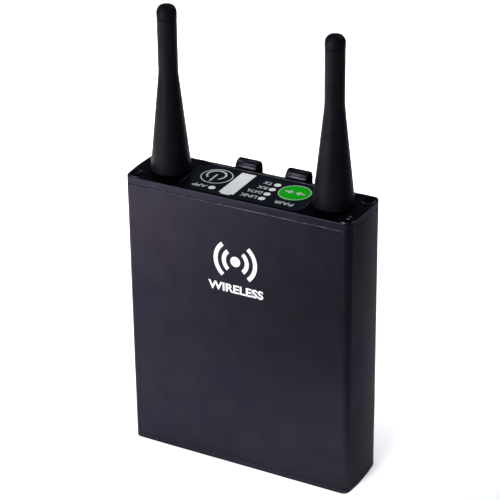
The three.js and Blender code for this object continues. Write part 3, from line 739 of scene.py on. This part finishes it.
def build_screws():
    for end, turn in (("top", 0), ("bottom", math.pi)):
        for index, (name, centre) in enumerate(screw_places(end)):
            low, high = box_mm(name)
            face = high.z if end == "top" else low.z
            twist = Matrix.Rotation(math.radians(17 + 41 * index), 4, "Z")
            place = Matrix.Translation((centre.x, centre.y, face)) @ Matrix.Rotation(turn, 4, "X") @ twist
            screw = countersunk_screw(SCREW_HEAD, 1.3, high.z - low.z, 1.2, 1.1)
            add(name + "_steel", screw, "black_steel", replaces=[name], place=place)
    for index, name in enumerate(("clip_plate_screw_upper", "clip_plate_screw_lower")):
        low, high = box_mm(name)
        centre = centre_of(name)
        place = (
            Matrix.Translation((centre.x, high.y, centre.z))
            @ Matrix.Rotation(-math.pi / 2, 4, "X")
            @ Matrix.Rotation(math.radians(20 + 33 * index), 4, "Z")
        )
        screw = countersunk_screw(2.0, 0.95, high.y - low.y, 0.78, 0.6)
        add(name + "_steel", screw, "black_steel", replaces=[name], place=place)


# ------------------------------------------------------------------ panel

def build_film():
    skin = Skin()
    inset = PANEL_HALF_WIDTH - FILM_HIGH.x
    levels = [(inset + shift, z, 0) for shift, z, _ in top_edge(FINE_EDGE, FILM_HIGH.z)]
    levels.append((inset, FILM_LOW.z, 0))
    upper, lower = skin.stack(panel_outline, levels)
    holes, under_holes = [], []
    for button in ("power_button", "pair_button"):
        centre = centre_of(button)
        outline = round_hole(centre.x, centre.y, WELL_RADIUS - 0.05, 72)
        hole = skin.stack(outline, [*hole_edge(FINE_EDGE, FILM_HIGH.z), (0, FILM_LOW.z, 0)])
        holes.append(hole[0])
        under_holes.append(hole[1])
    for outline in window_outlines(0.04):
        hole = skin.stack(outline, [(0, FILM_HIGH.z, 0), (0, FILM_LOW.z, 0)])
        holes.append(hole[0])
        under_holes.append(hole[1])
    skin.face(upper, holes)
    skin.face(lower, under_holes)
    add("overlay_film", skin, "panel_film", replaces=["control_overlay"])


def build_keys():
    for name, slot in (("power_button", "panel_film"), ("pair_button", "green_key")):
        low, high = box_mm(name)
        centre = centre_of(name)
        radius, thick, stem, edge = (high.x - low.x) / 2, 1.0, 2.0, 0.12
        profile = [(0, high.z), (radius - edge, high.z)]
        profile += [(radius - inset, high.z - drop) for inset, drop, _ in rounding(edge, 3)[1:]]
        profile += [(radius, high.z - thick), (stem, high.z - thick), (stem, low.z), (0, low.z)]
        skin = Skin()
        skin.turn(profile, 96, centre.x, centre.y)
        add(name.replace("button", "key"), skin, slot, body=name, replaces=[name])


def build_windows():
    for name in LIGHTS:
        node = name + "_light_window"
        low, high = box_mm(node)
        centre = centre_of(node)
        radius = (high.y - low.y) / 2
        profile = [(0, high.z), (radius - 0.06, high.z), (radius, high.z - 0.06), (radius, low.z), (0, low.z)]
        skin = Skin()
        skin.turn(profile, 40, centre.x, centre.y)
        add(name + "_light_pipe", skin, "white_window", replaces=[node])
    low, high = box_mm("battery_window")
    skin = Skin()
    outline = lambda inset: gauge_outline(-inset)
    upper, lower = skin.stack(outline, [(0.05, high.z, 0), (0, high.z - 0.05, 0), (0, low.z, 0)])
    skin.face(upper)
    skin.face(lower)
    add("battery_gauge_lens", skin, "white_window", replaces=["battery_window"])


# ------------------------------------------------------------------ printed marks

def printed(name, skin, body, place=None, ink=WHITE_INK):
    return add_piece(name, skin, ink, body, place=place)


def printed_arc(skin, cx, cy, radius, width, start, stop, z):
    """A stroke of ink along an arc, with square ends."""
    steps = 40
    inner, outer = radius - width / 2, radius + width / 2
    outline = arc(cx, cy, outer, start, stop, steps) + arc(cx, cy, inner, stop, start, steps)
    printed_shape(skin, outline, z)


def printed_shape(skin, outline, z):
    upper, lower = skin.stack(lambda inset: outline, [(0, z + PRINT, 0), (0, z + PRINT * 0.1, 0)])
    skin.face(upper)
    skin.face(lower)


def printed_ring(skin, cx, cy, radius, width, z):
    levels = [(0, z + PRINT, 0), (0, z + PRINT * 0.1, 0)]
    outer = skin.stack(round_hole(cx, cy, radius + width / 2, 96), levels)
    inner = skin.stack(round_hole(cx, cy, radius - width / 2, 96), levels)
    skin.face(outer[0], [inner[0]])
    skin.face(outer[1], [inner[1]])


def printed_word(name, text, width, height, place, bold, ink=WHITE_INK):
    """A word fitted to a width and capital height, lying in the plane and centred on its place."""
    curve = bpy.data.curves.new(name, "FONT")
    curve.body = text
    curve.size = 1.0
    curve.offset = bold
    curve.resolution_u = 4
    source = bpy.data.objects.new(name + "_source", curve)
    SCENE.collection.objects.link(source)
    flat = bpy.data.meshes.new_from_object(source.evaluated_get(bpy.context.evaluated_depsgraph_get()))
    bpy.data.objects.remove(source)
    bm = bmesh.new()
    bm.from_mesh(flat)
    bpy.data.meshes.remove(flat)
    bmesh.ops.remove_doubles(bm, verts=bm.verts, dist=1e-5)
    sides = bmesh.ops.extrude_face_region(bm, geom=list(bm.faces))["geom"]
    raised = [item for item in sides if isinstance(item, bmesh.types.BMVert)]
    xs = [vert.co.x for vert in bm.verts]
    ys = [vert.co.y for vert in bm.verts]
    middle = Vector(((min(xs) + max(xs)) / 2, (min(ys) + max(ys)) / 2, 0))
    scale = Vector((width / (max(xs) - min(xs)), height / (max(ys) - min(ys)), 1))
    for vert in bm.verts:
        vert.co = (vert.co - middle) * scale
        vert.co.z = PRINT * 0.1
    for vert in raised:
        vert.co.z = PRINT
    skin = Skin()
    skin.bm.free()
    skin.bm = bm
    return printed(name, skin, "housing", place, ink)


def on_panel(x, y):
    """Panel wording is read from the back, so it is turned half round."""
    return Matrix.Translation((x, y, FILM_HIGH.z)) @ Matrix.Rotation(math.pi, 4, "Z")


def build_panel_printing():
    cap_height = 2.5
    column_right = centre_of("tx_light_window").x - 2.3
    for name, width in (("tx", 3.9), ("rx", 4.3), ("data", 6.7), ("link", 7.4)):
        centre = centre_of(name + "_light_window")
        place = on_panel(column_right - width / 2, centre.y)
        printed_word(f"label_{name}", name.upper(), width, cap_height, place, 0.02)
    app = centre_of("app_light_window")
    printed_word("label_app", "APP", 6.6, cap_height, on_panel(app.x - 5.7, app.y - 0.1), 0.02)
    pair = centre_of("pair_button")
    printed_word("label_pair", "PAIR", 8.6, cap_height, on_panel(pair.x + 0.3, app.y - 0.1), 0.02)

    for name, radius, width in (("power_button", 6.6, 0.5), ("pair_button", 6.66, 0.34)):
        centre = centre_of(name)
        skin = Skin()
        printed_ring(skin, centre.x, centre.y, radius, width, box_mm(name)[1].z)
        printed(name.replace("button", "key_ring"), skin, name)

    power = centre_of("power_button")
    surface = box_mm("power_button")[1].z
    cx, cy, radius, stroke, opening = power.x - 0.7, power.y + 1.1, 4.0, 0.85, 38
    skin = Skin()
    printed_arc(skin, cx, cy, radius, stroke, opening - 90, 270 - opening, surface)
    bar = rounded_rectangle(cx - stroke / 2, cx + stroke / 2, cy - 6.1, cy + 0.7, 0.2, 3)
    printed_shape(skin, bar, surface)
    printed("power_symbol", skin, "power_button")

    surface = box_mm("pair_button")[1].z
    tail, neck, apex, bar, head = 4.4, 2.4, 0.4, 0.45, 1.7  # two arrows that point at each other
    half = [(-tail, bar), (-neck, bar), (-neck, head)]
    arrow = [(x, -y) for x, y in half] + [(-apex, 0)] + half[::-1]
    skin = Skin()
    for side in (1, -1):
        printed_shape(skin, [(pair.x + side * x, pair.y + side * y) for x, y in arrow], surface)
    printed("pair_symbol", skin, "pair_button")


def build_front_mark():
    """A plain radio-wave sign with a generic word under it, on the front of the sleeve."""
    mark_height, word_height = 97.6, 84.9
    upright = Matrix.Rotation(math.pi / 2, 4, "X")
    front = -CASE_HALF_DEPTH
    skin = Skin()
    printed_shape(skin, circle(0, 0, 2.3, 48), 0)
    for direction in (0, 180):
        for radius in (5.3, 9.1):
            printed_arc(skin, 0, 0, radius, 1.9, direction - 50, direction + 50, 0)
    place = Matrix.Translation((0, front, mark_height)) @ upright
    printed("front_wave_mark", skin, "housing", place, FRONT_INK)
    place = Matrix.Translation((0, front, word_height)) @ upright
    printed_word("front_word", "WIRELESS", 25.5, 3.9, place, 0.03, FRONT_INK)


# ------------------------------------------------------------------ antennas

def build_antennas():
    for side in ANTENNA_SIDES:
        low, high = box_mm(f"antenna_sleeve_{side}")
        tip_low, tip_high = box_mm(f"antenna_tip_{side}")
        centre = centre_of(f"antenna_sleeve_{side}")
        base, rod, tip = (high.x - low.x) / 2, 4.1, (tip_high.x - tip_low.x) / 2
        rim_top, cone_top = TOP + 1.9, TOP + 43.1
        seam = tip_low.z
        slope = (base - rod) / (cone_top - rim_top)

        fillet = 1.5  # half the length over which the cone eases into the rod
        bore_end, insert_top, insert_foot = TOP + 62.8, TOP + 10, TOP + 3.5
        profile = [(0, bore_end), (0.9, bore_end), (0.9, insert_top), (4.9, insert_top), (4.9, insert_foot)]
        profile += [(5.6, insert_foot), (5.6, low.z + 0.2), (5.8, low.z)]
        profile += [(base - inset, low.z + drop) for inset, drop, _ in rounding(0.5, 4)]
        profile += [(base, rim_top - 0.4), (base - 0.03, rim_top + 0.4)]
        for share in (0.25, 0.5, 0.75):
            z = rim_top + share * (cone_top - fillet - rim_top)
            profile.append((base - slope * (z - rim_top), z))
        for step in range(9):
            along = step / 8
            z = cone_top + fillet * (2 * along - 1)
            profile.append((rod + slope * fillet * (1 - along) ** 2, z))
        groove, spigot = seam - 0.25, 3.0
        profile += [(rod, cone_top + 12), (rod, seam - 0.45), (rod - 0.13, groove)]
        profile += [(spigot, groove), (spigot, high.z), (0, high.z)]
        skin = Skin()
        skin.turn(profile, 96, centre.x, centre.y)
        body = f"antenna_{side}"
        add(f"antenna_body_{side}", skin, "antenna_rubber", body, [f"antenna_sleeve_{side}"], smooth=25)

        dome, hollow, bore = 3.6, TOP + 69.7, 3.3
        profile = [(0, hollow), (bore, hollow), (bore, seam), (tip - 0.12, seam), (tip, seam + 0.15)]
        for step in range(15):
            angle = math.radians(90 * step / 14)
            radius = tip * math.cos(angle) ** 0.62
            profile.append((0 if step == 14 else radius, tip_high.z - dome + dome * math.sin(angle)))
        skin = Skin()
        skin.turn(profile, 96, centre.x, centre.y)
        add(f"antenna_cap_{side}", skin, "antenna_rubber", body, [f"antenna_tip_{side}"], smooth=25)


def build_jacks():
    for side in ANTENNA_SIDES:
        low, high = box_mm(f"antenna_jack_{side}")
        centre = centre_of(f"antenna_jack_{side}")
        crest, root, pitch = 3.1, 2.78, 0.7056
        flange_top, flange_foot, hexagon = TOP - 3, TOP - 5.2, 4.6
        profile = [(0, low.z), (2.4, low.z), (2.4, low.z + 3), (root, low.z + 3)]
        z = flange_top
        while z + pitch < high.z - 0.3:
            profile += [(root, z), (crest, z + pitch / 2)]
            z += pitch
        profile += [(root, high.z - 0.2), (root - 0.2, high.z), (2.3, high.z), (2.3, TOP + 4.5)]
        profile += [(0.5, TOP + 4.5), (0.5, TOP + 7.4), (0, TOP + 7.6)]
        skin = Skin()
        skin.turn(profile, 48, centre.x, centre.y)
        flange = skin.stack(
            lambda inset: circle(centre.x, centre.y, hexagon - inset, 6),
            [(0, flange_top, 0), (0, flange_foot, 0)],
        )
        hole = skin.stack(round_hole(centre.x, centre.y, 3.15), [(0, flange_top, 0), (0, flange_foot, 0)])
        skin.face(flange[0], [hole[0]])
        skin.face(flange[1], [hole[1]])
        add(f"antenna_socket_{side}", skin, "gilt_brass", replaces=[f"antenna_jack_{side}"])

        nut_low, nut_high = box_mm(f"antenna_jack_nut_{side}")
        skin = Skin()
        levels = [(0.35, nut_high.z, 0), (0, nut_high.z - 0.25, 0.5), (0, nut_low.z, 0)]
        outer = skin.stack(lambda inset: circle(centre.x, centre.y, hexagon - inset, 6), levels)
        inner = skin.stack(round_hole(centre.x, centre.y, 3.2), [(0, nut_high.z, 0), (0, nut_low.z, 0)])
        skin.face(outer[0], [inner[0]])
        skin.face(outer[1], [inner[1]])
        add(f"antenna_hex_nut_{side}", skin, "gilt_brass", replaces=[f"antenna_jack_nut_{side}"])


# ------------------------------------------------------------------ bottom connectors

def build_connectors():
    low, high = box_mm("data_connector_shell")
    centre = centre_of("data_connector_shell")
    outer, inner, floor = (high.x - low.x) / 2, 9.7, 14.0
    profile = [(0, floor), (inner, floor), (inner, low.z + 0.25), (inner + 0.12, low.z + 0.06, 1)]
    profile += [(inner + 0.3, low.z), (outer - 0.3, low.z), (outer - 0.1, low.z + 0.08, 1)]
    profile += [(outer, low.z + 0.3), (outer, high.z), (0, high.z)]
    skin = Skin()
    skin.turn(profile, 96, centre.x, centre.y)
    add("data_socket_shell", skin, "black_steel", replaces=["data_connector_shell"])

    low, high = box_mm("data_connector_insert")
    radius = (high.y - low.y) / 2
    skin = Skin()
    outline = round_hole(centre.x, centre.y, radius, 80)
    top, face = skin.stack(outline, [(0, high.z, 0), *bottom_edge(0.35, low.z, 3)])
    holes = []
    for pin in range(5):
        angle = (pin + 0.5) * 2 * math.pi / 6 - math.pi / 2
        cx, cy = centre.x + 4.6 * math.cos(angle), centre.y + 4.6 * math.sin(angle)
        mouth, end = skin.stack(
            round_hole(cx, cy, 0.9, 24), [(-0.25, low.z, 0), (0, low.z + 0.25, 0), (0, low.z + 8, 0)]
        )
        skin.face(end)
        holes.append(mouth)
    skin.face(top)
    skin.face(face, holes)
    add("data_socket_insert", skin, "black_plastic", replaces=["data_connector_insert"])

    low, high = box_mm("charge_port")
    wall = 0.45
    skin = Skin()
    shell = slot_outline(low.x, high.x, low.y, high.y, 1.0)
    mouth = slot_outline(low.x + wall, high.x - wall, low.y + wall, high.y - wall, 0.7)
    outer_back, outer_face = skin.stack(shell, [(0, high.z, 0), (0, low.z + 0.1, 0), (0.1, low.z, 0)])
    mouth_face, mouth_end = skin.stack(mouth, [(-0.08, low.z, 0), (0, low.z + 0.1, 0), (0, high.z - 2, 0)])
    skin.face(outer_back)
    skin.face(outer_face, [mouth_face])
    skin.face(mouth_end)
    middle = (low.y + high.y) / 2
    tongue = slot_outline(low.x + 1.5, high.x - 1.5, middle - 0.35, middle + 0.35, 0.2)
    upper, lower = skin.stack(tongue, [(0, high.z - 2.05, 0), (0, low.z + 0.9, 0), (0.12, low.z + 0.75, 0)])
    skin.face(upper)
    skin.face(lower)
    add("charging_port", skin, "bright_steel", replaces=["charge_port"])


# ------------------------------------------------------------------ spring clips

CLIP_THICK = 0.8
CLIP_BEND = 3.2
CLIP_BEND_Y = 19.0
CLIP_BEND_Z = 124.0
CLIP_SEAM_Z = 100.0  # where the bending strip meets the stiff lower tongue


def strip_section(width, thick):
    """The strip's rounded section: x across it, y through its thickness."""
    return rounded_rectangle(-width / 2, width / 2, -thick / 2, thick / 2, 0.26, 3)


def sweep_strip(skin, centre_x, centre_line, widths):
    """Sweeps the strip's section along (y, z) points."""
    rings = []
    for i, (y, z) in enumerate(centre_line):
        before = Vector(centre_line[max(i - 1, 0)])
        after = Vector(centre_line[min(i + 1, len(centre_line) - 1)])
        along = (after - before).normalized()
        out = Vector((-along.y, along.x))
        ring = []
        for across, through in strip_section(widths[i], CLIP_THICK):
            vert = skin.bm.verts.new((centre_x + across, y + out.x * through, z + out.y * through))
            vert[skin.edge] = 0.08 if abs(abs(across) - widths[i] / 2) < 0.15 else 0.0
            ring.append(vert)
        rings.append(ring)
    for one, other in zip(rings, rings[1:]):
        skin.band(one, other)
    skin.bm.faces.new(rings[0])
    skin.bm.faces.new(rings[-1])


def end_widths(centre_line, width, at_start, at_end):
    """Full width along the strip, drawn in at an end to round its corners."""
    radius = 2.2
    lengths = [0.0]
    for one, other in zip(centre_line, centre_line[1:]):
        lengths.append(lengths[-1] + math.dist(one, other))
    widths = []
    for length in lengths:
        ends = [length] if at_start else []
        ends += [lengths[-1] - length] if at_end else []
        near = min(ends + [radius])
        widths.append(width - 2 * (radius - math.sqrt(radius**2 - (radius - near) ** 2)))
    return widths


def bezier(a, b, c, d, steps):
    points = []
    for step in range(steps + 1):
        t = step / steps
        weights = ((1 - t) ** 3, 3 * t * (1 - t) ** 2, 3 * t * t * (1 - t), t**3)
        points.append(tuple(sum(w * p[i] for w, p in zip(weights, (a, b, c, d))) for i in range(2)))
    return points


def fine_end(start, stop, fine=(0, 0.1, 0.25, 0.5, 0.9, 1.4, 2.2)):
    """Points on a straight run, closely spaced near its start so that its corners come out round."""
    run = Vector(stop) - Vector(start)
    return [tuple(Vector(start) + run.normalized() * step) for step in fine] + [tuple(stop)]


def build_clips():
    leaf_y, hang_y = CLIP_BEND_Y - CLIP_BEND, CLIP_BEND_Y + CLIP_BEND
    nip = (17.0, 71.0)
    tip = (20.4, 63.2)
    for side in ("left", "right"):
        low, high = box_mm(f"clip_leaf_{side}")
        centre_x, width = (low.x + high.x) / 2, high.x - low.x
        root = fine_end((leaf_y, low.z), (leaf_y, CLIP_BEND_Z))
        bend = [
            (CLIP_BEND_Y + y, CLIP_BEND_Z + z) for y, z in arc(0, 0, CLIP_BEND, 180, 0, 28)[1:]
        ]
        hang = [(hang_y, CLIP_BEND_Z - drop) for drop in (4, 9, 15, 20)]
        upper = root + bend + hang + [(hang_y, CLIP_SEAM_Z)]
        skin = Skin()
        sweep_strip(skin, centre_x, upper, end_widths(upper, width, True, False))
        piece = add(f"clip_spring_{side}", skin, "black_steel", None, [f"clip_leaf_{side}"], smooth=25)
        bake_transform(piece)

        lower = [(hang_y, CLIP_SEAM_Z)] + bezier((hang_y, 96), (hang_y, 85), (nip[0], 81), nip, 24)
        flare = bezier(nip, (nip[0], 68), (18.1, 65.5), tip, 14)[1:-1]
        lower += flare + list(reversed(fine_end(tip, flare[-1])))[1:]
        skin = Skin()
        sweep_strip(skin, centre_x, lower, end_widths(lower, width, False, True))
        add(f"clip_tongue_strip_{side}", skin, "black_steel", body=f"clip_{side}",
            replaces=[f"clip_tongue_{side}"], smooth=25)


def build_clip_plate():
    low, high = box_mm("clip_plate")
    thick = high.y - low.y
    onto_back = Matrix(((1, 0, 0, 0), (0, 0, 1, low.y), (0, 1, 0, 0), (0, 0, 0, 1)))
    skin = Skin()
    outline = lambda inset: rounded_rectangle(
        low.x + inset, high.x - inset, low.z + inset, high.z - inset, 3 - inset, 8
    )
    face, back = skin.stack(outline, [*top_edge(0.25, thick), (0, 0, 0)])
    holes, back_holes = [], []
    for name in ("clip_plate_screw_upper", "clip_plate_screw_lower"):
        centre = centre_of(name)
        levels = [(-0.06, thick, 0), (0, thick - 0.06, 1), (0.1, thick - 0.16, 0)]
        levels += [(1.05, thick - 1.1, 0), (1.05, 0, 0)]
        upper, lower = skin.stack(round_hole(centre.x, centre.z, 2.3, 40), levels)
        holes.append(upper)
        back_holes.append(lower)
    skin.face(face, holes)
    skin.face(back, back_holes)
    add("clip_base_plate", skin, "black_steel", replaces=["clip_plate"], place=onto_back)

    for side in ("left", "right"):
        for level in ("upper", "lower"):
            name = f"clip_rivet_{side}_{level}"
            low, high = box_mm(name)
            centre = centre_of(name)
            head, shank, crown = (high.x - low.x) / 2, 1.4, 0.4
            profile = [(0, low.y), (shank, low.y), (shank, high.y - crown), (head, high.y - crown)]
            for step in range(7):
                angle = math.radians(90 * step / 6)
                radius = 0 if step == 6 else head * math.cos(angle) ** 0.8
                profile.append((radius, high.y - crown + crown * math.sin(angle), 0.5 if step == 2 else 0.0))
            skin = Skin()
            skin.turn(profile, 40)
            out = Matrix(((1, 0, 0, centre.x), (0, 0, 1, 0), (0, 1, 0, centre.z), (0, 0, 0, 1)))
            add(name + "_steel", skin, "black_steel", replaces=[name], place=out, smooth=25)


# ------------------------------------------------------------------ assembly

add_camera()
add_stage()
paint_cad_nodes()
build_sleeve()
build_gaskets()
build_top_cap()
build_bottom_cap()
build_screws()
build_film()
build_keys()
build_windows()
build_panel_printing()
build_front_mark()
build_antennas()
build_jacks()
build_connectors()
build_clips()
build_clip_plate()
